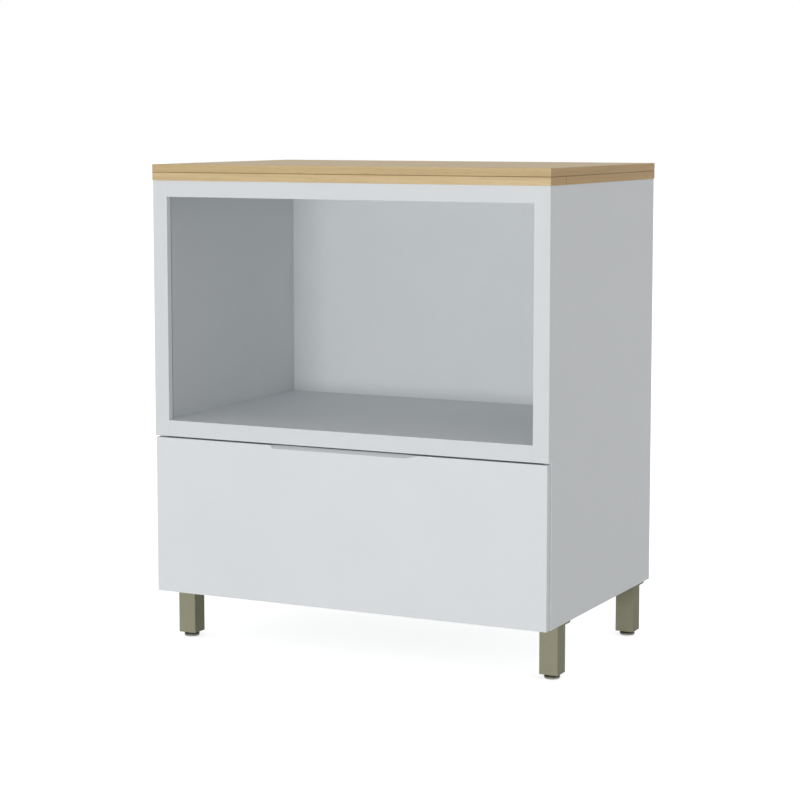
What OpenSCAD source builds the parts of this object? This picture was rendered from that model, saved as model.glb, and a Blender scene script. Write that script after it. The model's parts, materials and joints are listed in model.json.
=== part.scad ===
/* [Body] */
// Width over the outsides of the two side panels
body_w = 798; // [700:1:900]
// Depth from the face of the niche frame to the back of the back panel
body_d = 511.5; // [500:0.5:600]
// Thickness of the boards of the body, the niche frame and the drawer front
board_t = 15; // [14:0.5:18]
// Thickness of the back panel
back_t = 3; // [2.5:0.5:6]

/* [Niche] */
// Clear height of the oven niche
niche_h = 417.5; // [350:0.5:600]
// Face width of the frame round the niche
frame_w = 30; // [25:1:45]

/* [Worktop] */
// Thickness of the worktop's board, and of the strips under its edges
worktop_t = 15; // [12:0.5:25]
// Width of the strips under the worktop's edges
strip_w = 69; // [50:1:100]
// How far the worktop stands out past the face of the niche frame
worktop_front_lip = 1; // [0.5:0.1:20]
// How far the worktop stands out past the side panels
worktop_side_lip = 1; // [0.5:0.1:20]
// How far the worktop stands out past the back panel
worktop_back_lip = 2.2; // [1:0.1:20]

/* [Legs] */
// Width of the square leg tube
leg_w = 36; // [30:1:45]
// Wall of the leg tube
leg_wall = 1.5; // [1:0.1:2.5]
// Radius on the corners of the leg tube
leg_corner_r = 1.8; // [0.5:0.1:4]
// Length of the leg tube
leg_h = 85.5; // [70:0.5:140]
// Distance from the outside of a side panel to the leg
leg_side_inset = 6.7; // [4:0.1:60]
// Distance from the face of the niche frame to the front legs
leg_front_inset = 64.2; // [45:0.1:120]
// Distance from the back of the body to the back legs
leg_back_inset = 32.5; // [30:0.1:90]
// Thickness of the leg's mounting plate
plate_t = 7; // [4:0.5:10]
// How far the mounting plate reaches past its leg, inwards and to the back
plate_reach = 23.5; // [20:0.5:32]
// Wall of the spigot
spigot_wall = 2; // [1.5:0.1:4]
// Height of the hollow spigot that the leg tube is pushed over
spigot_h = 20; // [14:1:30]
// Height of the threaded plug in the bottom of the leg tube
plug_h = 12; // [8:1:20]

/* [Levelling feet] */
// Radius of the foot's disc
foot_r = 14.3; // [12:0.1:18]
// Height of the foot's disc
foot_h = 6.5; // [5:0.1:10]
// Height of the hexagon between the disc and the leg
hex_h = 2.5; // [2:0.1:6]
// Radius over the corners of the hexagon
hex_r = 8.5; // [6:0.1:11]
// Radius of the threaded stud
stud_r = 4; // [3:0.5:5]
// How far the foot can be screwed out of the leg
foot_travel = 15; // [5:1:20]

/* [Drawer] */
// Height of the drawer front
front_h = 293.2; // [265:0.1:400]
// Gap between the drawer front and the niche frame above it
front_gap = 3; // [2:0.1:6]
// How far each end of the drawer front stays inside the outside of the side panel
front_reveal = 2.1; // [0.5:0.1:4]
// Height of the boards round the drawer's box
box_h = 200; // [130:1:220]
// Clearance between the base panel and the drawer's box
box_lift = 12; // [6:1:20]
// Thickness of the boards round the drawer's box
box_t = 15; // [12:0.5:16]
// Thickness of the drawer's bottom
bottom_t = 3; // [3:0.5:6]
// Height of the groove for the bottom above the lower edge of the drawer's box
groove_lift = 10; // [8:0.5:14]
// Depth of the groove for the bottom
groove_d = 6; // [4:0.5:8]

/* [Finger grip] */
// Length of the bevel in the top edge of the drawer front
grip_l = 304; // [200:1:500]
// Height of the bevel, and its depth
grip_h = 6.3; // [5:0.1:10]
// Length over which the bevel dies out at its left end
grip_run_left = 4.5; // [2:0.5:60]
// Length over which the bevel dies out at its right end
grip_run_right = 30; // [2:0.5:60]

/* [Runners] */
// Length of the drawer runners
runner_l = 450; // [400:10:460]
// Distance from the front edge of the side panel to the runner
runner_setback = 2; // [1:0.5:10]
// Height of the runner's middle above the lower edge of the drawer's box
runner_lift = 60; // [48:1:90]
// Height of the runner's outer member
runner_h = 45; // [43:0.5:50]
// Thickness of the runner between the side panel and the drawer
runner_t = 12.7; // [12.5:0.1:14]
// Sheet of the runner's three members
sheet_t = 1.2; // [1:0.1:1.3]
// Radius of the runner's balls
ball_r = 2; // [1.7:0.1:2.1]
// Number of balls in a row
ball_count = 6; // [4:1:10]
// Length of a ball cage
cage_l = 150; // [100:5:180]
// Sheet of the ball cages
cage_t = 0.6; // [0.4:0.1:0.7]

/* [Fasteners] */
// Radius of the wooden dowels
dowel_r = 4; // [3:0.5:5]
// Radius of the cam locks
cam_r = 7.5; // [6:0.5:9]
// Height of the cam locks
cam_h = 12; // [11:0.5:12.5]
// Distance from a board's end to the middle of its cam lock
cam_inset = 34; // [24:1:40]
// Radius of the shank of the small screws
screw_r = 1.75; // [1.5:0.05:2]
// Radius of the shank of the long screws
long_screw_r = 2; // [1.75:0.05:2.5]
// Radius of the head of every screw
head_r = 3.5; // [3:0.1:4]
// Height of the head of every screw
head_h = 2; // [1.5:0.1:2.5]

/* [Hidden] */
$fn = 48;

// Sides of the cabinet, and its rows of legs
LEFT = -1;
RIGHT = 1;
FRONT = -1;
BACK = 1;
SIDES = [LEFT, RIGHT];
ROWS = [FRONT, BACK];

// Clearances
fit = 0.1;
stud_fit = 0.05;
spigot_fit = 0.3;
cage_gap = 0.3;
ball_gap = 0.3;
lip_gap = 0.7;
groove_fit = 0.2;
over = 1;

// Colours
WHITE = [0.86, 0.86, 0.87];
WHITE_BACK = [0.8, 0.81, 0.82];
OAK = [0.78, 0.66, 0.46];
CHAMPAGNE = [0.56, 0.55, 0.46];
DARK = [0.16, 0.16, 0.16];
ZINC = [0.72, 0.73, 0.75];
BEECH = [0.82, 0.68, 0.5];
CLEAR = [0.85, 0.85, 0.82];

// Heights of the body, from the floor up
leg_z = foot_h + hex_h;
plate_z = leg_z + leg_h;
base_z = plate_z + plate_t;
frame_z = base_z + front_h + front_gap;
shelf_top = frame_z + frame_w;
niche_top = shelf_top + niche_h;
body_top = niche_top + frame_w;

// Widths and depths of the body; the middle of the worktop lies over the origin
half_w = body_w / 2;
inner_x = half_w - board_t;
niche_w = body_w - 2 * frame_w;
worktop_w = body_w + 2 * worktop_side_lip;
worktop_d = worktop_front_lip + body_d + worktop_back_lip;
front_y = worktop_front_lip - worktop_d / 2;
body_y = front_y + board_t;
back_y = front_y + body_d;
body_back_y = back_y - back_t;

// Heights of the middles of the level boards
base_mid = base_z + board_t / 2;
shelf_mid = shelf_top - board_t / 2;
top_mid = body_top - board_t / 2;
side_mid_x = inner_x + board_t / 2;

// Drawer
bumper_t = 0.6;
bumper_r = 5;
bumper_end = 40;
bumper_x = (inner_x + body_w / 2 - front_reveal) / 2;
front_back_y = body_y - bumper_t;
front_face_y = front_back_y - board_t;
front_w = body_w - 2 * front_reveal;
box_z = base_z + board_t + box_lift;
box_x = inner_x - runner_t;
box_inner_x = box_x - box_t;
runner_y = body_y + runner_setback;
runner_z = box_z + runner_lift;
box_back_y = runner_y + runner_l;
groove_z = box_z + groove_lift;
slot_h = bottom_t + 2 * groove_fit;
bottom_x = box_inner_x + groove_d - groove_fit;
bottom_y = front_back_y + box_t - groove_d + groove_fit;
bottom_back_y = box_back_y - box_t + groove_d - groove_fit;

// Runner section: distances from the side panel, and heights from the runner's middle
race_r = ball_r + ball_gap + sheet_t;
outer_row = runner_h / 2 - race_r;
middle_top = outer_row - ball_r - ball_gap;
inner_row = middle_top - sheet_t - ball_gap - ball_r;
inner_top = inner_row - ball_r - ball_gap;
cage_outer_a = sheet_t + cage_gap;
middle_a = cage_outer_a + cage_t + cage_gap;
cage_inner_a = middle_a + sheet_t + cage_gap;
inner_a = cage_inner_a + cage_t + cage_gap;
cage_margin = 1;
ball_a = cage_inner_a + cage_t + ball_r + 2 * fit;
cage_end_a = ball_a + ball_r + cage_margin;
middle_end_a = ball_a + race_r + cage_margin;
cage_start = (runner_l - cage_l) / 2;
ball_pitch = cage_l / ball_count;

// Places and lengths of the fasteners
drive_w = 0.9;
drive_l = head_r;
drive_h = 1;
plate_screw_l = 11;
plate_screw_edge = 5;
runner_screw_l = 11;
runner_screw_end = 35;
set_screw_l = 7;
front_screw_l = 24;
front_screw_inset = 60;
front_screw_end = 50;
box_screw_l = 40;
box_screw_end = 30;
worktop_screw_bite = 7;
worktop_screw_l = board_t + worktop_t + worktop_screw_bite;
worktop_screw_end = 92;
row_worktop_screws = 4;
dowel_in = 20;
dowel_out = 10;
dowel_room = 1;
dowel_step = 50;
stile_dowel_end = 60;
rail_dowel_end = 120;
dowel_row = 3;
bolt_r = 3;
bolt_thread_r = 2.5;
bolt_thread_l = 10;
bolt_bore_r = 4;
bolt_tip = 2;
nail_r = 0.9;
nail_l = 17;
nail_head_r = 2.4;
nail_head_h = 0.8;
side_nail_end = 45;
row_nail_end = 75;
side_nails = 7;
row_nails = 5;

leg_x = half_w - leg_side_inset - leg_w / 2;
leg_front_y = front_y + leg_front_inset + leg_w / 2;
leg_back_y = back_y - leg_back_inset - leg_w / 2;
function leg_y(row) = row == FRONT ? leg_front_y : leg_back_y;
function spread(low, high, count) = [for (i = [0 : count - 1]) low + (high - low) * i / (count - 1)];

// Side joints: [y, middle height of the level board, 1 where the cam lock is sunk from above]
cam_joints = concat(
    [for (row = ROWS) [leg_y(row), base_mid, 1]],
    [for (row = ROWS, z = [shelf_mid, top_mid]) [leg_y(row), z, 0]]
);
side_dowels = [for (row = ROWS, z = [base_mid, shelf_mid, top_mid]) [leg_y(row) - row * dowel_step, z]];
// Frame dowels: [x, z]
frame_dowel_x = niche_w / 2 - rail_dowel_end;
stile_dowel_z = spread(frame_z + stile_dowel_end, body_top - stile_dowel_end, dowel_row);
frame_dowels = concat(
    [for (side = SIDES, z = stile_dowel_z) [side * side_mid_x, z]],
    [for (x = spread(-frame_dowel_x, frame_dowel_x, dowel_row), z = [shelf_mid, top_mid]) [x, z]]
);
// Nails of the back panel: [x, z]
nail_x = niche_w / 2 - row_nail_end;
side_nail_z = spread(base_z + side_nail_end, body_top - side_nail_end, side_nails);
nails = concat(
    [for (side = SIDES, z = side_nail_z) [side * side_mid_x, z]],
    [for (x = spread(-nail_x, nail_x, row_nails), z = [base_mid, shelf_mid, top_mid]) [x, z]]
);
// Screws of the worktop: [x, y], where the top panel lies under a strip
worktop_screw_y = [
    (body_y + front_y - worktop_front_lip + strip_w) / 2,
    (body_back_y + back_y + worktop_back_lip - strip_w) / 2
];
worktop_screw_x = niche_w / 2 - worktop_screw_end;
worktop_screw_places = [
    for (x = spread(-worktop_screw_x, worktop_screw_x, row_worktop_screws), y = worktop_screw_y) [x, y]
];
runner_screw_y = spread(runner_screw_end, runner_l - runner_screw_end, 3);
box_screw_z = [box_z + box_screw_end, box_z + box_h - box_screw_end];
box_screw_y = [front_back_y + box_t / 2, box_back_y - box_t / 2];

// General shapes
module block(low, high) {
    translate(low) cube(high - low);
}

module on_side(side) {
    mirror([side == LEFT ? 1 : 0, 0, 0]) children();
}

module along_x() {
    rotate([0, 90, 0]) children();
}

module along_y() {
    rotate([-90, 0, 0]) children();
}

module bar(l) {
    translate([0, l, 0]) rotate([90, 0, 0]) linear_extrude(l) children();
}

// Corners of a rounded rectangle, anticlockwise from the far right one
function rounded(low, high, r, steps = 6) = [
    for (corner = [0 : 3], i = [0 : steps])
        let (
            turn = 90 * (corner + i / steps),
            x = corner == 0 || corner == 3 ? high[0] - r : low[0] + r,
            y = corner < 2 ? high[1] - r : low[1] + r
        )
            [x + r * cos(turn), y + r * sin(turn)]
];

module rounded_bar(w, r, h) {
    linear_extrude(h) polygon(rounded([-w / 2, -w / 2], [w / 2, w / 2], r));
}

// Screws point along +Z from the surface that they hold, at z = 0
module drive() {
    for (turn = [0, 90]) {
        rotate(turn) translate([-drive_l / 2, -drive_w / 2, -over]) cube([drive_l, drive_w, drive_h + over]);
    }
}

module pan_screw(r, l) {
    cylinder(h = l, r = r);
    translate([0, 0, -head_h]) difference() {
        union() {
            cylinder(h = head_h / 2, r1 = head_r * 0.75, r2 = head_r);
            translate([0, 0, head_h / 2]) cylinder(h = head_h / 2, r = head_r);
        }
        drive();
    }
}

module sunk_screw(r, l) {
    difference() {
        union() {
            cylinder(h = head_h, r1 = head_r, r2 = r);
            cylinder(h = l, r = r);
        }
        drive();
    }
}

module screw_hole(r, l) {
    translate([0, 0, -over]) cylinder(h = l + fit + over, r = r + fit);
}

module sunk_hole(r, l) {
    screw_hole(r, l);
    cylinder(h = head_h, r1 = head_r + fit, r2 = r + fit);
}

module nail() {
    cylinder(h = nail_l, r = nail_r);
    translate([0, 0, -nail_head_h]) cylinder(h = nail_head_h, r = nail_head_r);
}

// A dowel lies along Z, with its joint at z = 0 and its long end below
module dowel() {
    translate([0, 0, -dowel_in]) cylinder(h = dowel_in + dowel_out, r = dowel_r);
}

module dowel_hole() {
    translate([0, 0, -dowel_in - dowel_room]) {
        cylinder(h = dowel_in + dowel_out + 2 * dowel_room, r = dowel_r + stud_fit);
    }
}

// A cam lock and its bolt: the joint is at x = 0, the side panel is at x > 0
module cam_lock(from_above) {
    face_z = board_t / 2;
    mirror([0, 0, from_above]) translate([-cam_inset, 0, -face_z]) difference() {
        cylinder(h = cam_h, r = cam_r);
        drive();
        translate([-bolt_tip, 0, face_z]) along_x() cylinder(h = cam_r + bolt_tip + over, r = bolt_r + fit);
    }
}

module cam_bolt() {
    along_x() cylinder(h = bolt_thread_l, r = bolt_thread_r);
    translate([bolt_tip - cam_inset, 0, 0]) along_x() cylinder(h = cam_inset - bolt_tip, r = bolt_r);
}

module cam_hole(from_above) {
    mirror([0, 0, from_above]) translate([-cam_inset, 0, -board_t / 2 - over]) {
        cylinder(h = cam_h + fit + over, r = cam_r + fit);
    }
    translate([-cam_inset, 0, 0]) along_x() cylinder(h = cam_inset + over, r = bolt_bore_r);
}

module bolt_hole() {
    translate([-over, 0, 0]) along_x() cylinder(h = bolt_thread_l + fit + over, r = bolt_thread_r + fit);
}

// Places of the fasteners
module at_cams(z = undef) {
    for (side = SIDES, joint = cam_joints) {
        if (z == undef || joint[1] == z) {
            on_side(side) translate([inner_x, joint[0], joint[1]]) {
                $from_above = joint[2];
                children();
            }
        }
    }
}

module at_side_dowels(z = undef) {
    for (side = SIDES, joint = side_dowels) {
        if (z == undef || joint[1] == z) {
            on_side(side) translate([inner_x, joint[0], joint[1]]) along_x() children();
        }
    }
}

module at_frame_dowels() {
    for (place = frame_dowels) {
        translate([place[0], body_y, place[1]]) rotate([90, 0, 0]) children();
    }
}

module at_nails() {
    for (place = nails) {
        translate([place[0], back_y, place[1]]) rotate([90, 0, 0]) children();
    }
}

module at_worktop_screws() {
    for (place = worktop_screw_places) {
        translate([place[0], place[1], body_top - board_t]) children();
    }
}

// A leg's own frame has its middle at x = y = 0 and the outside of the body towards +X
module at_leg(side, row) {
    translate([side * leg_x, leg_y(row), 0]) on_side(side) children();
}

module at_legs() {
    for (side = SIDES, row = ROWS) {
        at_leg(side, row) children();
    }
}

module at_plate_screws() {
    free = (leg_w + plate_reach) / 2;
    front = plate_screw_edge - leg_w / 2;
    outer = min(-front, inner_x - plate_screw_edge - leg_x);
    for (place = [[-free, front], [-free, free], [outer, free]]) {
        translate([place[0], place[1], plate_z]) children();
    }
}

module at_set_screw() {
    translate([-leg_w / 2, 0, plate_z - spigot_h / 2]) along_x() children();
}

// A runner's own frame starts at the side panel's inner face, at the runner's front end and middle height
module at_runner(side) {
    on_side(side) translate([inner_x, runner_y, runner_z]) mirror([1, 0, 0]) children();
}

module at_body_screws() {
    for (y = runner_screw_y) {
        translate([sheet_t, y, 0]) rotate([0, -90, 0]) children();
    }
}

module at_drawer_screws() {
    for (y = runner_screw_y) {
        translate([runner_t - sheet_t, y, 0]) along_x() children();
    }
}

module at_front_screws() {
    x = box_inner_x - front_screw_inset;
    for (side = SIDES, z = [box_z + front_screw_end, box_z + box_h - front_screw_end]) {
        translate([side * x, front_back_y + box_t, z]) rotate([90, 0, 0]) children();
    }
}

module at_box_screws() {
    for (side = SIDES, y = box_screw_y, z = box_screw_z) {
        on_side(side) translate([box_x, y, z]) rotate([0, -90, 0]) children();
    }
}

// Body boards
module side_panel(side) {
    color(WHITE) difference() {
        on_side(side) block([inner_x, body_y, base_z], [half_w, body_back_y, body_top]);
        at_cams() bolt_hole();
        at_side_dowels() dowel_hole();
        at_frame_dowels() dowel_hole();
        at_nails() screw_hole(nail_r, nail_l);
        at_runner(side) at_body_screws() sunk_hole(screw_r, runner_screw_l);
    }
}

module level_board(mid) {
    difference() {
        block([-inner_x, body_y, mid - board_t / 2], [inner_x, body_back_y, mid + board_t / 2]);
        at_cams(mid) cam_hole($from_above);
        at_side_dowels(mid) dowel_hole();
        at_frame_dowels() dowel_hole();
        at_nails() screw_hole(nail_r, nail_l);
    }
}

module base_panel() {
    color(WHITE) difference() {
        level_board(base_mid);
        at_legs() at_plate_screws() screw_hole(screw_r, plate_t + plate_screw_l);
    }
}

module oven_shelf() {
    color(WHITE) level_board(shelf_mid);
}

module top_panel() {
    color(WHITE) difference() {
        level_board(top_mid);
        at_worktop_screws() screw_hole(long_screw_r, worktop_screw_l);
    }
}

module back_panel() {
    color(WHITE_BACK) difference() {
        block([-half_w, body_back_y, base_z], [half_w, back_y, body_top]);
        at_nails() screw_hole(nail_r, nail_l);
    }
}

// Niche frame
module frame_stile(side) {
    color(WHITE) difference() {
        on_side(side) block([half_w - frame_w, front_y, frame_z], [half_w, body_y, body_top]);
        at_frame_dowels() dowel_hole();
    }
}

module frame_rail(z) {
    color(WHITE) difference() {
        block([-niche_w / 2, front_y, z], [niche_w / 2, body_y, z + frame_w]);
        at_frame_dowels() dowel_hole();
    }
}

// Worktop
module worktop_board() {
    color(OAK) difference() {
        translate([-worktop_w / 2, -worktop_d / 2, body_top + worktop_t]) {
            cube([worktop_w, worktop_d, worktop_t]);
        }
        at_worktop_screws() screw_hole(long_screw_r, worktop_screw_l);
    }
}

module worktop_strip(low, high) {
    color(OAK) difference() {
        block([low[0], low[1], body_top], [high[0], high[1], body_top + worktop_t]);
        at_worktop_screws() screw_hole(long_screw_r, worktop_screw_l);
    }
}

module worktop_strip_front() {
    worktop_strip([-worktop_w / 2, -worktop_d / 2], [worktop_w / 2, strip_w - worktop_d / 2]);
}

module worktop_strip_side(side) {
    x = worktop_w / 2;
    on_side(side) worktop_strip([x - strip_w, strip_w - worktop_d / 2], [x, worktop_d / 2]);
}

module worktop_strip_back() {
    x = worktop_w / 2 - strip_w;
    worktop_strip([-x, worktop_d / 2 - strip_w], [x, worktop_d / 2]);
}

// Legs
module leg(side, row) {
    color(CHAMPAGNE) at_leg(side, row) difference() {
        translate([0, 0, leg_z]) rounded_bar(leg_w, leg_corner_r, leg_h);
        translate([0, 0, leg_z - over]) {
            rounded_bar(leg_w - 2 * leg_wall, max(leg_corner_r - leg_wall, fit), leg_h + 2 * over);
        }
        at_set_screw() screw_hole(long_screw_r, set_screw_l);
    }
}

module leg_plate(side, row) {
    reach = leg_w / 2 + plate_reach;
    spigot_w = leg_w - 2 * leg_wall - 2 * spigot_fit;
    hollow_w = spigot_w - 2 * spigot_wall;
    color(CHAMPAGNE) at_leg(side, row) difference() {
        union() {
            translate([0, 0, plate_z]) linear_extrude(plate_t) {
                polygon(rounded([-reach, -leg_w / 2], [leg_w / 2, reach], leg_corner_r));
            }
            translate([0, 0, plate_z - spigot_h]) difference() {
                rounded_bar(spigot_w, leg_corner_r, spigot_h);
                translate([0, 0, -over]) rounded_bar(hollow_w, leg_corner_r, spigot_h + over);
            }
        }
        at_plate_screws() screw_hole(screw_r, plate_t + plate_screw_l);
        at_set_screw() screw_hole(long_screw_r, set_screw_l);
    }
}

module leg_plugs() {
    color(DARK) at_legs() translate([0, 0, leg_z]) difference() {
        rounded_bar(leg_w - 2 * leg_wall - 2 * fit, leg_corner_r, plug_h);
        translate([0, 0, -over]) cylinder(h = plug_h + 2 * over, r = stud_r + stud_fit);
    }
}

module foot(side, row) {
    rim = foot_h / 4;
    color(ZINC) at_leg(side, row) {
        rotate_extrude() {
            polygon([
                [0, 0], [foot_r - rim, 0], [foot_r, rim],
                [foot_r, foot_h - rim / 2], [foot_r - rim / 2, foot_h], [0, foot_h]
            ]);
        }
        translate([0, 0, foot_h]) cylinder(h = hex_h, r = hex_r, $fn = 6);
        translate([0, 0, leg_z]) cylinder(h = plug_h + foot_travel, r = stud_r);
    }
}

// Drawer
module grip_slope(side, run) {
    // Everything above a plane that rises 1 in 1 towards the back and by the grip's height over the run
    lean = side * grip_h / run;
    big = 2 * grip_l;
    translate([side * (grip_l / 2 - run), front_face_y, base_z + front_h - grip_h]) {
        rotate([0, 0, -atan(lean)]) rotate([atan(norm([1, lean])), 0, 0]) {
            translate([-big, -big, 0]) cube([2 * big, 2 * big, big]);
        }
    }
}

module grip_cut() {
    intersection() {
        grip_slope(LEFT, grip_run_left);
        grip_slope(RIGHT, grip_run_right);
        block(
            [-grip_l, front_face_y - grip_h, base_z + front_h - grip_h - over],
            [grip_l, front_back_y, base_z + front_h + over]
        );
        translate([-grip_l, front_face_y, base_z + front_h - grip_h]) rotate([45, 0, 0]) {
            translate([0, -grip_l, 0]) cube([2 * grip_l, 2 * grip_l, grip_l]);
        }
    }
}

module drawer_front() {
    color(WHITE) difference() {
        translate([-front_w / 2, front_face_y, base_z]) cube([front_w, board_t, front_h]);
        grip_cut();
        at_front_screws() screw_hole(screw_r, front_screw_l);
    }
}

module drawer_groove() {
    block(
        [-bottom_x - groove_fit, bottom_y - groove_fit, groove_z],
        [bottom_x + groove_fit, bottom_back_y + groove_fit, groove_z + slot_h]
    );
}

module drawer_side(side) {
    color(WHITE) difference() {
        on_side(side) block([box_inner_x, front_back_y, box_z], [box_x, box_back_y, box_z + box_h]);
        drawer_groove();
        at_runner(side) at_drawer_screws() sunk_hole(screw_r, runner_screw_l);
        at_box_screws() sunk_hole(long_screw_r, box_screw_l);
    }
}

module drawer_cross_board(y) {
    color(WHITE) difference() {
        translate([-box_inner_x, y, box_z]) cube([2 * box_inner_x, box_t, box_h]);
        drawer_groove();
        at_front_screws() screw_hole(screw_r, front_screw_l);
        at_box_screws() sunk_hole(long_screw_r, box_screw_l);
    }
}

module drawer_bottom() {
    z = groove_z + groove_fit;
    color(WHITE_BACK) block([-bottom_x, bottom_y, z], [bottom_x, bottom_back_y, z + bottom_t]);
}

module drawer_bumpers() {
    color(CLEAR) for (side = SIDES, z = [base_z + bumper_end, base_z + front_h - bumper_end]) {
        translate([side * bumper_x, front_back_y, z]) along_y() cylinder(h = bumper_t, r = bumper_r);
    }
}

// Runners
module runner_outer(side) {
    color(ZINC) at_runner(side) difference() {
        bar(runner_l) for (up = [0, 1]) {
            mirror([0, up]) {
                square([sheet_t, runner_h / 2]);
                translate([0, runner_h / 2 - sheet_t]) square([ball_a, sheet_t]);
                translate([ball_a, outer_row]) intersection() {
                    difference() {
                        circle(race_r);
                        circle(race_r - sheet_t);
                    }
                    translate([0, lip_gap]) square(race_r);
                }
            }
        }
        at_body_screws() sunk_hole(screw_r, runner_screw_l);
    }
}

module channel(web_a, web_end, flange_a, flange_end, top) {
    translate([web_a, -top]) square([web_end - web_a, 2 * top]);
    for (z = [-top, top - sheet_t]) {
        translate([flange_a, z]) square([flange_end - flange_a, sheet_t]);
    }
}

module runner_middle(side) {
    color(ZINC) at_runner(side) bar(runner_l) {
        channel(middle_a, middle_a + sheet_t, middle_a, middle_end_a, middle_top);
    }
}

module runner_inner(side) {
    color(ZINC) at_runner(side) difference() {
        bar(runner_l) channel(runner_t - sheet_t, runner_t, inner_a, runner_t, inner_top);
        at_drawer_screws() sunk_hole(screw_r, runner_screw_l);
    }
}

module ball_places(row) {
    for (z = [-row, row], i = [0 : ball_count - 1]) {
        translate([ball_a, cage_start + (i + 0.5) * ball_pitch, z]) children();
    }
}

module ball_cage(side, web_a, row) {
    color(ZINC) at_runner(side) {
        difference() {
            translate([0, cage_start, 0]) bar(cage_l) {
                translate([web_a, -row]) square([cage_t, 2 * row]);
                for (z = [-row, row - cage_t]) {
                    translate([web_a, z]) square([cage_end_a - web_a, cage_t]);
                }
            }
            ball_places(row) cylinder(h = 2 * ball_r, r = ball_r + fit, center = true);
        }
        ball_places(row) sphere(ball_r);
    }
}

// Fasteners
module cam_locks() {
    color(ZINC) at_cams() cam_lock($from_above);
}

module cam_bolts() {
    color(ZINC) at_cams() cam_bolt();
}

module dowels() {
    color(BEECH) {
        at_side_dowels() dowel();
        at_frame_dowels() dowel();
    }
}

module worktop_screws() {
    color(ZINC) at_worktop_screws() pan_screw(long_screw_r, worktop_screw_l);
}

module back_panel_nails() {
    color(ZINC) at_nails() nail();
}

module leg_plate_screws() {
    color(ZINC) at_legs() at_plate_screws() pan_screw(screw_r, plate_t + plate_screw_l);
}

module leg_set_screws() {
    color(ZINC) at_legs() at_set_screw() pan_screw(long_screw_r, set_screw_l);
}

module runner_body_screws() {
    color(ZINC) for (side = SIDES) {
        at_runner(side) at_body_screws() sunk_screw(screw_r, runner_screw_l);
    }
}

module runner_drawer_screws() {
    color(ZINC) for (side = SIDES) {
        at_runner(side) at_drawer_screws() sunk_screw(screw_r, runner_screw_l);
    }
}

module drawer_front_screws() {
    color(ZINC) at_front_screws() pan_screw(screw_r, front_screw_l);
}

module drawer_box_screws() {
    color(ZINC) at_box_screws() sunk_screw(long_screw_r, box_screw_l);
}

side_panel(LEFT);  // side_panel_left
side_panel(RIGHT);  // side_panel_right
base_panel();
oven_shelf();
top_panel();
back_panel();
frame_stile(LEFT);  // frame_stile_left
frame_stile(RIGHT);  // frame_stile_right
frame_rail(niche_top);  // frame_rail_top
frame_rail(frame_z);  // frame_rail_bottom
worktop_board();
worktop_strip_front();
worktop_strip_back();
worktop_strip_side(LEFT);  // worktop_strip_left
worktop_strip_side(RIGHT);  // worktop_strip_right
leg(LEFT, FRONT);  // leg_front_left
leg(RIGHT, FRONT);  // leg_front_right
leg(LEFT, BACK);  // leg_back_left
leg(RIGHT, BACK);  // leg_back_right
leg_plate(LEFT, FRONT);  // leg_plate_front_left
leg_plate(RIGHT, FRONT);  // leg_plate_front_right
leg_plate(LEFT, BACK);  // leg_plate_back_left
leg_plate(RIGHT, BACK);  // leg_plate_back_right
leg_plugs();
leg_plate_screws();
leg_set_screws();
foot(LEFT, FRONT);  // foot_front_left
foot(RIGHT, FRONT);  // foot_front_right
foot(LEFT, BACK);  // foot_back_left
foot(RIGHT, BACK);  // foot_back_right
cam_locks();
cam_bolts();
dowels();
worktop_screws();
back_panel_nails();
runner_outer(LEFT);  // runner_outer_left
runner_outer(RIGHT);  // runner_outer_right
runner_middle(LEFT);  // runner_middle_left
runner_middle(RIGHT);  // runner_middle_right
runner_inner(LEFT);  // runner_inner_left
runner_inner(RIGHT);  // runner_inner_right
ball_cage(LEFT, cage_outer_a, outer_row);  // ball_cage_outer_left
ball_cage(RIGHT, cage_outer_a, outer_row);  // ball_cage_outer_right
ball_cage(LEFT, cage_inner_a, inner_row);  // ball_cage_inner_left
ball_cage(RIGHT, cage_inner_a, inner_row);  // ball_cage_inner_right
runner_body_screws();
runner_drawer_screws();
drawer_front();
drawer_side(LEFT);  // drawer_side_left
drawer_side(RIGHT);  // drawer_side_right
drawer_cross_board(front_back_y);  // drawer_inner_front
drawer_cross_board(box_back_y - box_t);  // drawer_back
drawer_bottom();
drawer_bumpers();
drawer_front_screws();
drawer_box_screws();
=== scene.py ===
"""The finish of an oven base cabinet, and the studio that it stands in."""
import json
import math

import bmesh
import bpy
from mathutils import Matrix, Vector


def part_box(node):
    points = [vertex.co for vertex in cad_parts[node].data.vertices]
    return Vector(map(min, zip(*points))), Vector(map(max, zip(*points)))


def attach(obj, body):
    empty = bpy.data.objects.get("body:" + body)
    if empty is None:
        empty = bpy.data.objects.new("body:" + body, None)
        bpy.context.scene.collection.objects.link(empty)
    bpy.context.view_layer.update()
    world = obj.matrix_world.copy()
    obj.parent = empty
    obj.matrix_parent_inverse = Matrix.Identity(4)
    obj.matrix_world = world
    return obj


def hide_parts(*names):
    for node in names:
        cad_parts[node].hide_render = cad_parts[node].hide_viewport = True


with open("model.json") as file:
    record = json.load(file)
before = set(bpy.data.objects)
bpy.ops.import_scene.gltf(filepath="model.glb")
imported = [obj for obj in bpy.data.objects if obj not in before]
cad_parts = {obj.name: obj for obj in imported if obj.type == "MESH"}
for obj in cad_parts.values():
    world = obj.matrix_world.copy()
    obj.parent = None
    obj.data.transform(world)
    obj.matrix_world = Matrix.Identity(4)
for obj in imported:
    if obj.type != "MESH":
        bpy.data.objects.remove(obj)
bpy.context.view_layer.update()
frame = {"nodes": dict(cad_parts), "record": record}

NODES = frame["nodes"]
SLOT_OF = {part["node"]: part["material_slot"] for part in frame["record"]["subparts"]}

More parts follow.
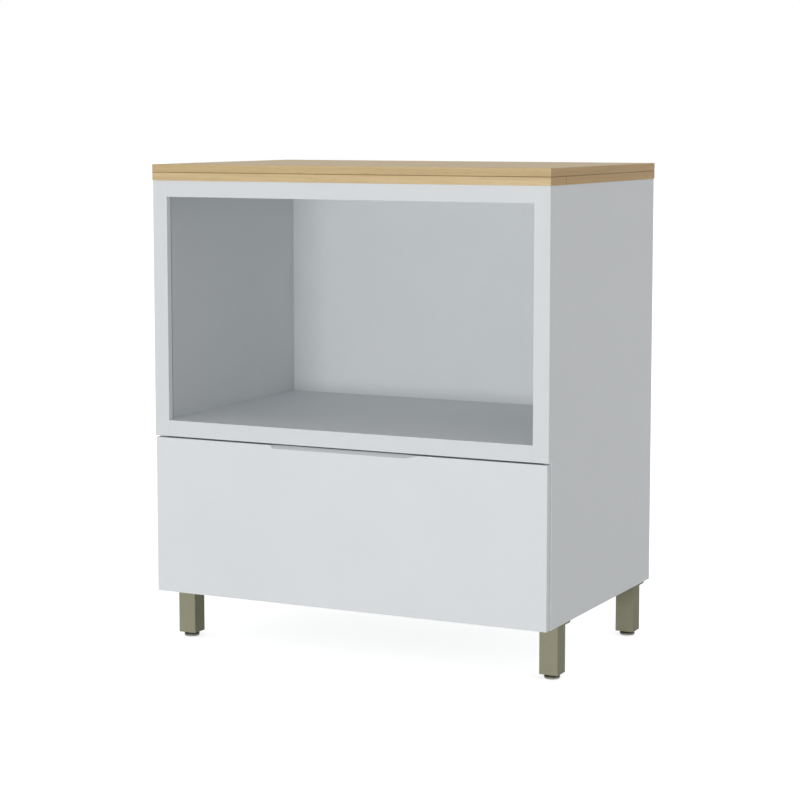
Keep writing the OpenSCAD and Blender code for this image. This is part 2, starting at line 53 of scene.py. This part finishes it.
# Boards: the rounding of their edges in metres, by material slot
EDGE_OF = {"white_board": 0.00035, "white_back": 0.00012, "oak_board": 0.001}
EDGE_STEPS = 3
EDGE_TURN = math.radians(40)  # the least turn between faces that is an edge
FLAT_TURN = math.radians(0.5)  # the most turn between faces of one plane
WELD_REACH = 0.000002  # corners that are closer are one corner

# Levelling feet, in metres
DISC_H = 0.0065
DISC_ROUND = 0.0019
DISC_ROUND_STEPS = 6
DISC_CHAMFER = 0.0006
HEX_H = 0.0025
HEX_R = 0.0085
HEX_CHAMFER = 0.0006
STUD_R = 0.004
THREAD_PITCH = 0.00125
THREAD_DEPTH = 0.00068
FOOT_CREASE = math.radians(32)
FOOT_FINISHES = ("foot_steel", "zinc_steel")
DISC_FINISH, STUD_FINISH = range(2)
FOOT_STEPS = 72
FOOT_TURNS = [2 * math.pi * step / FOOT_STEPS for step in range(FOOT_STEPS)]

# Features of the surfaces for each metre, along the three axes
CLOUD = (7, 7, 7)
PEEL = (420, 420, 420)
MOTTLE = (60, 60, 60)
TONE = (35, 35, 35)

# The same for wood, along the grain and twice across it
RINGS = (1.1, 22, 22)
STREAKS = (3.2, 120, 120)
FIBRES = (16, 850, 850)
PORES = (42, 2100, 2100)
RING_WAVES = 46.0
WOOD_ROUGHNESS = (0.46, 0.6)
PORE_DEPTH = 0.4  # as a share of the fibres' relief

# Bumps: strength, and depth in metres
PEEL_BUMP = (0.16, 0.00012)
GRAIN_BUMP = (0.25, 0.00025)
BRUSHED_BUMP = (0.12, 0.0001)
PITS_BUMP = (0.25, 0.0001)

# A face looks along an axis when that part of its direction is over FACING
FACING = 0.72
SLANT = (0.5, 0.9)  # the upward part of the direction of a slanting cut

# Dark glue lines: full within the first distance of a joint, gone at the second, in metres
JOINT_FADE = (0.0005, 0.0013)
# Width in metres of the painted shade line along the rear of the frame's inner sides
BAND_SHADE_LINE_WIDTH = 0.002

# Studio, in metres and watts: name, place, target, width, height and power of each light
LIGHTS = (
    ("key", (-0.1, -7.5, 0.5), (0.0, -0.2, 0.5), 2.4, 0.9, 190.0),
    ("fill", (6.0, 0.4, 0.7), (0.0, 0.0, 0.4), 3.0, 1.3, 7.0),
)
WORLD_LEVEL = 0.53
FLOOR_HALF = 40.0
FLOOR_TONE = 0.94
FLOOR_LIFT = 0.7  # for the rays of seen_rays only

# Camera: below the horizon and round from the front, in radians
CAMERA_PLACE = (1.85493, -3.77276, 0.98757)
CAMERA_DIP = 0.107504
CAMERA_ROUND = 0.459867
CAMERA_LENS = 100.315
CAMERA_SENSOR = 36.0
CAMERA_SHIFT = -0.05
CAMERA_REACH = 200.0


class Shader:
    """A node material around one Principled shader."""

    def __init__(self, name, **sockets):
        self.material = bpy.data.materials.new(name)
        self.material.use_nodes = True
        self.tree = self.material.node_tree
        self.surface = self.tree.nodes["Principled BSDF"]
        for socket, value in sockets.items():
            self.surface.inputs[socket.replace("_", " ")].default_value = value
        self.place = self.add("ShaderNodeTexCoord").outputs["Object"]

    def add(self, kind, inputs=None, **settings):
        node = self.tree.nodes.new(kind)
        for key, value in settings.items():
            setattr(node, key, value)
        for key, value in (inputs or {}).items():
            self.put(node.inputs[key], value)
        return node

    def put(self, socket, value):
        if isinstance(value, bpy.types.NodeSocket):
            self.tree.links.new(value, socket)
        else:
            socket.default_value = value

    def drive(self, socket, value):
        self.put(self.surface.inputs[socket], value)

    def noise(self, scale, detail=3.0, distortion=0.0, place=None):
        """Noise of so many features a metre along each axis."""
        scaled = self.add("ShaderNodeMapping", {"Vector": place or self.place, "Scale": scale})
        return self.add("ShaderNodeTexNoise", {
            "Vector": scaled.outputs["Vector"], "Scale": 1.0, "Detail": detail,
            "Roughness": 0.55, "Distortion": distortion,
        }).outputs["Fac"]

    def spread(self, value, low, high, start=0.3, end=0.7):
        """A value between start and end, spread over low to high."""
        return self.add("ShaderNodeMapRange", {
            "Value": value, "From Min": start, "From Max": end, "To Min": low, "To Max": high,
        }).outputs["Result"]

    def math(self, kind, first, second=0.0):
        return self.add("ShaderNodeMath", {0: first, 1: second}, operation=kind).outputs[0]

    def times(self, first, second):
        return self.math("MULTIPLY", first, second)

    def blend(self, share, first, second, kind="MIX"):
        node = self.add("ShaderNodeMix", data_type="RGBA", blend_type=kind)
        self.put(node.inputs["Factor"], share)
        for name, value in (("A", first), ("B", second)):
            self.put([s for s in node.inputs if s.name == name and s.type == "RGBA"][0], value)
        return [s for s in node.outputs if s.type == "RGBA"][0]

    def tinted(self, base, tint, share):
        """The base, with a tint multiplied into a share of it."""
        return self.blend(share, base, self.blend(1.0, base, tint, "MULTIPLY"))

    def axes(self, vector):
        return self.add("ShaderNodeSeparateXYZ", {"Vector": vector}).outputs

    def direction(self):
        """The three parts of the direction that the surface faces."""
        return self.axes(self.add("ShaderNodeTexCoord").outputs["Normal"])

    def faces(self, axis):
        """One where the surface looks along an axis, either way, and zero elsewhere."""
        return self.math("GREATER_THAN", self.math("ABSOLUTE", self.direction()[axis]), FACING)

    def finish(self, base, relief, roughness, bump):
        """Sets colour, roughness and bump; the last two follow the relief."""
        self.drive("Base Color", base)
        self.drive("Roughness", self.spread(relief, *roughness))
        self.bump(relief, *bump)
        return self.material

    def bump(self, height, strength, distance):
        node = self.add("ShaderNodeBump", {
            "Height": height, "Strength": strength, "Distance": distance,
        })
        self.drive("Normal", node.outputs["Normal"])


def rgb(red, green, blue):
    """A colour on the 0 to 255 scale of a picture, as a linear one."""
    def linear(level):
        share = level / 255
        return share / 12.92 if share <= 0.04045 else ((share + 0.055) / 1.055) ** 2.4
    return (linear(red), linear(green), linear(blue), 1.0)


def board_shader(name, tones, sheen, slant_shade=None, front_shade=None, band=None):
    """Melamine face: even tone with a faint cloud, and fine orange peel.

    It may have painted shade on slanting cuts and on its front, and a band on the inner sides of a
    frame: painted light that makes it a little paler, with a painted shade line along the rear.
    """
    shader = Shader(name, IOR=1.46, Specular_IOR_Level=0.35)
    base = shader.blend(shader.spread(shader.noise(CLOUD, detail=4), 0.0, 1.0), *tones)
    # Painted shade: slanting faces darkened, as the shade under the part above them.
    if slant_shade:
        rise = shader.direction()[2]
        slanting = shader.times(
            shader.math("GREATER_THAN", rise, SLANT[0]), shader.math("LESS_THAN", rise, SLANT[1]))
        base = shader.tinted(base, slant_shade, slanting)
    # Painted shade: faces that look to the front darkened.
    if front_shade:
        on_front = shader.math("LESS_THAN", shader.direction()[1], -FACING)
        base = shader.tinted(base, front_shade, on_front)
    # Painted light on the frame's inner sides, and a painted shade line along their rear edge.
    if band:
        tint, shade_line_tint, half_width, rear = band
        x, y, _ = shader.axes(shader.place)
        inside = shader.math("LESS_THAN", shader.math("ABSOLUTE", x), half_width)
        on_band = shader.times(shader.faces(0), inside)
        base = shader.tinted(base, tint, on_band)
        at_rear = shader.math("GREATER_THAN", y, rear - BAND_SHADE_LINE_WIDTH)
        base = shader.tinted(base, shade_line_tint, shader.times(on_band, at_rear))
    peel = shader.noise(PEEL, detail=2)
    return shader.finish(base, peel, (sheen - 0.04, sheen + 0.05), PEEL_BUMP)


def wood_shader(name, tones, along, turned_ends=False, front_shade=None, side_shade=None, joints=()):
    """Grain along one axis: rings, streaks, fibres and pores, each over the last.

    On board ends it turns to follow the edge band. Its front and end faces may carry painted shade
    that makes them darker than the top. Joints are dark glued seams, each an axis and a place on
    it.
    """
    shader = Shader(name, IOR=1.5)
    pale, mid, dark, pore = tones
    where = shader.axes(shader.place)

    def oriented(first, second):
        return shader.add("ShaderNodeCombineXYZ", {
            "X": where[first], "Y": where[second], "Z": where[2],
        }).outputs["Vector"]

    place = oriented(*along)
    if turned_ends:
        choice = shader.add("ShaderNodeMix", data_type="VECTOR")
        shader.put(choice.inputs["Factor"], shader.faces(0))
        straight, turned = [s for s in choice.inputs if s.type == "VECTOR" and s.name in "AB"]
        shader.put(straight, place)
        shader.put(turned, oriented(*along[::-1]))
        place = [s for s in choice.outputs if s.type == "VECTOR"][0]

    rings = shader.noise(RINGS, detail=2, distortion=0.9, place=place)
    arcs = shader.math("SINE", shader.times(rings, RING_WAVES))
    streaks = shader.noise(STREAKS, detail=4, place=place)
    fibres = shader.noise(FIBRES, place=place)
    pores = shader.noise(PORES, detail=1, place=place)
    base = pale
    for layer, colour, most, start, end in (
        (arcs, mid, 0.55, -1.0, 1.0), (streaks, dark, 0.6, 0.4, 0.72),
        (fibres, mid, 0.35, 0.45, 0.75), (pores, pore, 0.55, 0.62, 0.74),
    ):
        base = shader.blend(shader.spread(layer, 0.0, most, start, end), base, colour)
    # Painted shade on faces that look to the front and back.
    if front_shade:
        base = shader.tinted(base, front_shade, shader.faces(1))
    # Painted shade on end faces.
    if side_shade:
        base = shader.tinted(base, side_shade, shader.faces(0))
    for axis, at in joints:
        away = shader.math("ABSOLUTE", shader.math("SUBTRACT", where[axis], at))
        base = shader.tinted(base, GLUE, shader.spread(away, 1.0, 0.0, *JOINT_FADE))
    shader.drive("Base Color", base)
    shader.drive("Roughness", shader.spread(fibres, *WOOD_ROUGHNESS))
    shader.bump(shader.math("ADD", fibres, shader.times(pores, -PORE_DEPTH)), *GRAIN_BUMP)
    return shader.material


def metal_shader(name, tones, metallic, roughness, brushing, upper_shade=None, side_shade=None):
    """Metal with a soft mottle, and fine lines along the axis that brushing stretches.

    The tint that comes in between two heights is painted shade; side faces may carry painted shade
    too.
    """
    shader = Shader(name, Metallic=metallic)
    base = shader.blend(shader.spread(shader.noise(MOTTLE, detail=4), 0.0, 1.0), *tones)
    # Painted shade on faces that look along the first axis.
    if side_shade:
        base = shader.tinted(base, side_shade, shader.faces(0))
    # Painted shade: darker above a height.
    if upper_shade:
        low, high, tint = upper_shade
        height = shader.axes(shader.place)[2]
        base = shader.tinted(base, tint, shader.spread(height, 0.0, 1.0, low, high))
    lines = shader.noise(brushing)
    return shader.finish(base, lines, (roughness - 0.06, roughness + 0.08), BRUSHED_BUMP)


def plastic_shader(name, tones, roughness, grain):
    """Moulded surface with a fine grain."""
    shader = Shader(name, IOR=1.48)
    base = shader.blend(shader.spread(shader.noise(TONE), 0.0, 1.0), *tones)
    pits = shader.noise((grain, grain, grain), detail=2)
    return shader.finish(base, pits, (roughness - 0.06, roughness + 0.08), PITS_BUMP)


WHITE = (rgb(226, 229, 231), rgb(224, 227, 229))
WHITE_SHEEN = 0.54
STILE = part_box("frame_stile_left")
# Painted light and shade on the frame's inner sides: their lift, the tint of the painted shade
# line along their rear, the half width of the opening, and the rear of the frame.
FRAME_RETURN_LIGHT_AND_SHADE = (
    (1.08, 1.08, 1.08, 1), (0.25, 0.26, 0.27, 1), EDGE_OF["white_board"] - STILE[1][0],
    STILE[1][1],
)
OAK = (rgb(216, 192, 146), rgb(206, 181, 135), rgb(190, 162, 115), rgb(160, 130, 88))
# Painted shade: the worktop's front and end faces darkened against its top.
OAK_FRONT_SHADE = (0.87, 0.85, 0.79, 1)
OAK_SIDE_SHADE = (0.77, 0.66, 0.5, 1)
GLUE = (0.6, 0.56, 0.5, 1)
SEAM = (2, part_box("worktop_board")[0][2])
STRIP_JOINTS = (SEAM, (1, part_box("worktop_strip_front")[1][1]))
BEECH = (rgb(224, 190, 146), rgb(212, 174, 128), rgb(196, 156, 110), rgb(170, 128, 86))
ALONG_X = (0, 1)
ALONG_Y = (1, 0)

MATERIALS = {
    "white_board": board_shader("white_melamine", WHITE, WHITE_SHEEN),
    # Painted shade on the grip's slanting face, in the shade of the rail above.
    "white_front": board_shader("white_front", WHITE, WHITE_SHEEN, slant_shade=(0.82, 0.82, 0.83, 1)),
    # Painted shade on the frame's front faces, and painted light and a painted shade line on its
    # inner sides.
    "white_frame": board_shader(
        "white_frame", WHITE, WHITE_SHEEN, front_shade=(0.95, 0.95, 0.95, 1), band=FRAME_RETURN_LIGHT_AND_SHADE),
    "white_back": board_shader("white_fibreboard", (rgb(226, 229, 230), rgb(222, 226, 228)), 0.5),
    "oak_board": wood_shader("oak_board", OAK, ALONG_X, True, OAK_FRONT_SHADE, OAK_SIDE_SHADE, (SEAM,)),
    "oak_strip_x": wood_shader("oak_strip_x", OAK, ALONG_X, True, None, OAK_SIDE_SHADE, STRIP_JOINTS),
    "oak_strip_y": wood_shader("oak_strip_y", OAK, ALONG_Y, False, None, OAK_SIDE_SHADE, STRIP_JOINTS),
    # Painted shade on the legs' sides.
    "champagne_leg": metal_shader(
        "champagne_leg", (rgb(152, 150, 127), rgb(148, 146, 123)), 0.0, 0.8, (900, 900, 60),
        side_shade=(0.84, 0.86, 0.83, 1)),
    # Painted shade on the upper part of each foot's disc, in the shade of the leg above.
    "foot_steel": metal_shader(
        "foot_steel", (rgb(142, 140, 133), rgb(130, 128, 121)), 1.0, 0.4, (700, 700, 700),
        upper_shade=(0.003, 0.004, (0.22, 0.21, 0.18, 1))),
    "dark_plastic": plastic_shader(
        "black_plastic", (rgb(52, 52, 49), rgb(44, 44, 42)), 0.42, 900),
    "zinc_steel": metal_shader(
        "zinc_steel", (rgb(205, 207, 210), rgb(190, 194, 200)), 1.0, 0.34, (300, 30, 300)),
    "beech": wood_shader("beech_dowel", BEECH, ALONG_X),
    "clear_rubber": plastic_shader(
        "soft_rubber", (rgb(222, 222, 216), rgb(214, 214, 208)), 0.35, 500),
}

# Nodes whose material isn't named as their slot
OWN_MATERIAL = {
    "drawer_front": "white_front",
    "frame_stile_left": "white_frame", "frame_stile_right": "white_frame",
    "frame_rail_top": "white_frame", "frame_rail_bottom": "white_frame",
    "worktop_strip_front": "oak_strip_x", "worktop_strip_back": "oak_strip_x",
    "worktop_strip_left": "oak_strip_y", "worktop_strip_right": "oak_strip_y",
}


def finish_node(name, node):
    """Gives a CAD node its material, makes its flat faces whole and rounds its edges."""
    slot = SLOT_OF[name]
    node.data.materials.clear()
    node.data.materials.append(MATERIALS[OWN_MATERIAL.get(name, slot)])
    node.modifiers.new("weld", "WELD").merge_threshold = WELD_REACH
    if slot in EDGE_OF:
        plane = node.modifiers.new("planes", "DECIMATE")
        plane.decimate_type = "DISSOLVE"
        plane.angle_limit = FLAT_TURN
        bevel = node.modifiers.new("edges", "BEVEL")
        bevel.width = EDGE_OF[slot]
        bevel.segments = EDGE_STEPS
        bevel.limit_method = "ANGLE"
        bevel.angle_limit = EDGE_TURN
        bevel.use_clamp_overlap = False
        node.modifiers.new("normals", "WEIGHTED_NORMAL").keep_sharp = True


def lathe(shape, rows, finish):
    """Joins rings of points, each a list of FOOT_STEPS corners, and closes both ends."""
    rings = [[shape.verts.new(point) for point in row] for row in rows]
    for below, above in zip(rings, rings[1:]):
        for i in range(FOOT_STEPS):
            j = (i + 1) % FOOT_STEPS
            shape.faces.new((below[i], below[j], above[j], above[i])).material_index = finish
    shape.faces.new(rings[0][::-1]).material_index = finish
    shape.faces.new(rings[-1]).material_index = finish


def ring(height, radii):
    """The corners of an outline, one for each of FOOT_TURNS."""
    return [
        (radius * math.cos(turn), radius * math.sin(turn), height)
        for radius, turn in zip(radii, FOOT_TURNS)
    ]


def foot_disc(shape, radius):
    """Turned disc with a rolled lower edge and a small chamfer above."""
    outline = []
    for step in range(DISC_ROUND_STEPS + 1):
        turn = math.pi / 2 * step / DISC_ROUND_STEPS
        inset = DISC_ROUND * (1 - math.sin(turn))
        outline.append((DISC_ROUND * (1 - math.cos(turn)), radius - inset))
    outline += [(DISC_H - DISC_CHAMFER, radius), (DISC_H, radius - DISC_CHAMFER)]
    lathe(shape, [ring(height, [reach] * FOOT_STEPS) for height, reach in outline], DISC_FINISH)


def foot_hexagon(shape):
    """Hexagon whose corners are turned off at its upper end."""
    side = math.pi / 3
    flat = HEX_R * math.cos(side / 2)
    edge = [flat / math.cos((turn + side / 2) % side - side / 2) for turn in FOOT_TURNS]
    top = DISC_H + HEX_H
    lathe(shape, [
        ring(height, [min(radius, limit) for radius in edge])
        for height, limit in (
            (DISC_H, HEX_R), (top - HEX_CHAMFER, HEX_R), (top, HEX_R - 2 * HEX_CHAMFER),
        )
    ], STUD_FINISH)


def foot_thread(shape, low, high):
    """Stud with a helical thread that runs out at both ends."""
    half = THREAD_PITCH / 2
    root = STUD_R - THREAD_DEPTH
    # Two half pitches before the low end, so that the last column meets the first one turn on
    lead = 2
    count = math.ceil((high - low) / half) + 2 * lead
    columns = []
    for i, turn in enumerate(FOOT_TURNS):
        column = []
        for j in range(-lead, count):
            height = low + half * j + THREAD_PITCH * i / FOOT_STEPS
            radius = STUD_R if low < height < high and j % 2 else root
            height = min(max(height, low), high)
            corner = (radius * math.cos(turn), radius * math.sin(turn), height)
            column.append(shape.verts.new(corner))
        columns.append(column)
    for i, here in enumerate(columns):
        there = columns[(i + 1) % FOOT_STEPS]
        ahead = 0 if i + 1 < FOOT_STEPS else lead
        for j in range(len(here) - 1 - ahead):
            corners = (here[j], there[j + ahead], there[j + ahead + 1], here[j + 1])
            shape.faces.new(corners).material_index = STUD_FINISH


def levelling_foot(name):
    """A foot in full, in the place of its plain node."""
    low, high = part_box(name)
    shape = bmesh.new()
    foot_disc(shape, (high[0] - low[0]) / 2)
    foot_hexagon(shape)

    stud = bmesh.new()
    foot_thread(stud, DISC_H + HEX_H - THREAD_PITCH, high[2] - low[2])
    bmesh.ops.remove_doubles(stud, verts=stud.verts[:], dist=WELD_REACH)
    bmesh.ops.holes_fill(stud, edges=stud.edges[:], sides=0)
    part = bpy.data.meshes.new(name + "_stud")
    stud.to_mesh(part)
    stud.free()
    shape.from_mesh(part)
    bpy.data.meshes.remove(part)

    bmesh.ops.recalc_face_normals(shape, faces=shape.faces[:])
    centre = ((low[0] + high[0]) / 2, (low[1] + high[1]) / 2, low[2])
    bmesh.ops.translate(shape, verts=shape.verts[:], vec=centre)
    mesh = bpy.data.meshes.new(name + "_detail")
    shape.to_mesh(mesh)
    shape.free()
    for finish in FOOT_FINISHES:
        mesh.materials.append(MATERIALS[finish])
    piece = bpy.data.objects.new(name + "_detail", mesh)
    bpy.context.scene.collection.objects.link(piece)
    mesh.shade_smooth()
    mesh.set_sharp_from_angle(angle=FOOT_CREASE)
    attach(piece, name)
    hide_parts(name)


for node_name, node_object in NODES.items():
    if SLOT_OF[node_name] == "foot_steel":
        levelling_foot(node_name)
    else:
        finish_node(node_name, node_object)


def area_light(name, place, target, width, height, power):
    data = bpy.data.lights.new(name, "AREA")
    data.shape = "RECTANGLE"
    data.size = width
    data.size_y = height
    data.energy = power
    lamp = bpy.data.objects.new(name, data)
    bpy.context.scene.collection.objects.link(lamp)
    lamp.location = place
    aim = Vector(target) - Vector(place)
    lamp.rotation_euler = aim.to_track_quat("-Z", "Y").to_euler()


def seen_rays(tree):
    """One for rays from the camera, in reflections and through glass, and zero for the rest."""
    path = tree.nodes.new("ShaderNodeLightPath")
    seen = path.outputs["Is Camera Ray"]
    for ray in ("Is Glossy Ray", "Is Transmission Ray"):
        either = tree.nodes.new("ShaderNodeMath")
        either.operation = "MAXIMUM"
        tree.links.new(seen, either.inputs[0])
        tree.links.new(path.outputs[ray], either.inputs[1])
        seen = either.outputs[0]
    return seen


def pale_floor():
    """Plain floor that keeps shadows and looks near white."""
    mesh = bpy.data.meshes.new("floor")
    shape = bmesh.new()
    bmesh.ops.create_grid(shape, x_segments=1, y_segments=1, size=FLOOR_HALF)
    shape.to_mesh(mesh)
    shape.free()
    floor = bpy.data.objects.new("floor", mesh)
    bpy.context.scene.collection.objects.link(floor)

    material = bpy.data.materials.new("pale_floor")
    material.use_nodes = True
    tree = material.node_tree
    tree.nodes.clear()
    output = tree.nodes.new("ShaderNodeOutputMaterial")
    total = tree.nodes.new("ShaderNodeAddShader")
    diffuse = tree.nodes.new("ShaderNodeBsdfDiffuse")
    diffuse.inputs["Color"].default_value = (FLOOR_TONE, FLOOR_TONE, FLOOR_TONE, 1.0)
    glow = tree.nodes.new("ShaderNodeEmission")
    lift = tree.nodes.new("ShaderNodeMath")
    lift.operation = "MULTIPLY"
    lift.inputs[1].default_value = FLOOR_LIFT
    tree.links.new(seen_rays(tree), lift.inputs[0])
    tree.links.new(lift.outputs[0], glow.inputs["Strength"])
    tree.links.new(diffuse.outputs[0], total.inputs[0])
    tree.links.new(glow.outputs[0], total.inputs[1])
    tree.links.new(total.outputs[0], output.inputs["Surface"])
    mesh.materials.append(material)


def white_world():
    """Even light all round, and a white background."""
    world = bpy.data.worlds.new("studio")
    bpy.context.scene.world = world
    world.use_nodes = True
    tree = world.node_tree
    background = tree.nodes["Background"]
    background.inputs["Color"].default_value = (1.0, 1.0, 1.0, 1.0)
    level = tree.nodes.new("ShaderNodeMapRange")
    level.inputs["To Min"].default_value = WORLD_LEVEL
    level.inputs["To Max"].default_value = 1.0
    tree.links.new(seen_rays(tree), level.inputs["Value"])
    tree.links.new(level.outputs["Result"], background.inputs["Strength"])


def camera():
    """Stands where the photograph was taken from, a little above and to the right."""
    data = bpy.data.cameras.new("camera")
    data.sensor_width = CAMERA_SENSOR
    data.lens = CAMERA_LENS
    data.shift_y = CAMERA_SHIFT
    data.clip_end = CAMERA_REACH
    seat = bpy.data.objects.new("camera", data)
    bpy.context.scene.collection.objects.link(seat)
    seat.location = CAMERA_PLACE
    seat.rotation_euler = (math.pi / 2 - CAMERA_DIP, 0.0, CAMERA_ROUND)
    bpy.context.scene.camera = seat


for light in LIGHTS:
    area_light(*light)
pale_floor()
white_world()
camera()
bpy.context.scene.view_settings.view_transform = "Standard"
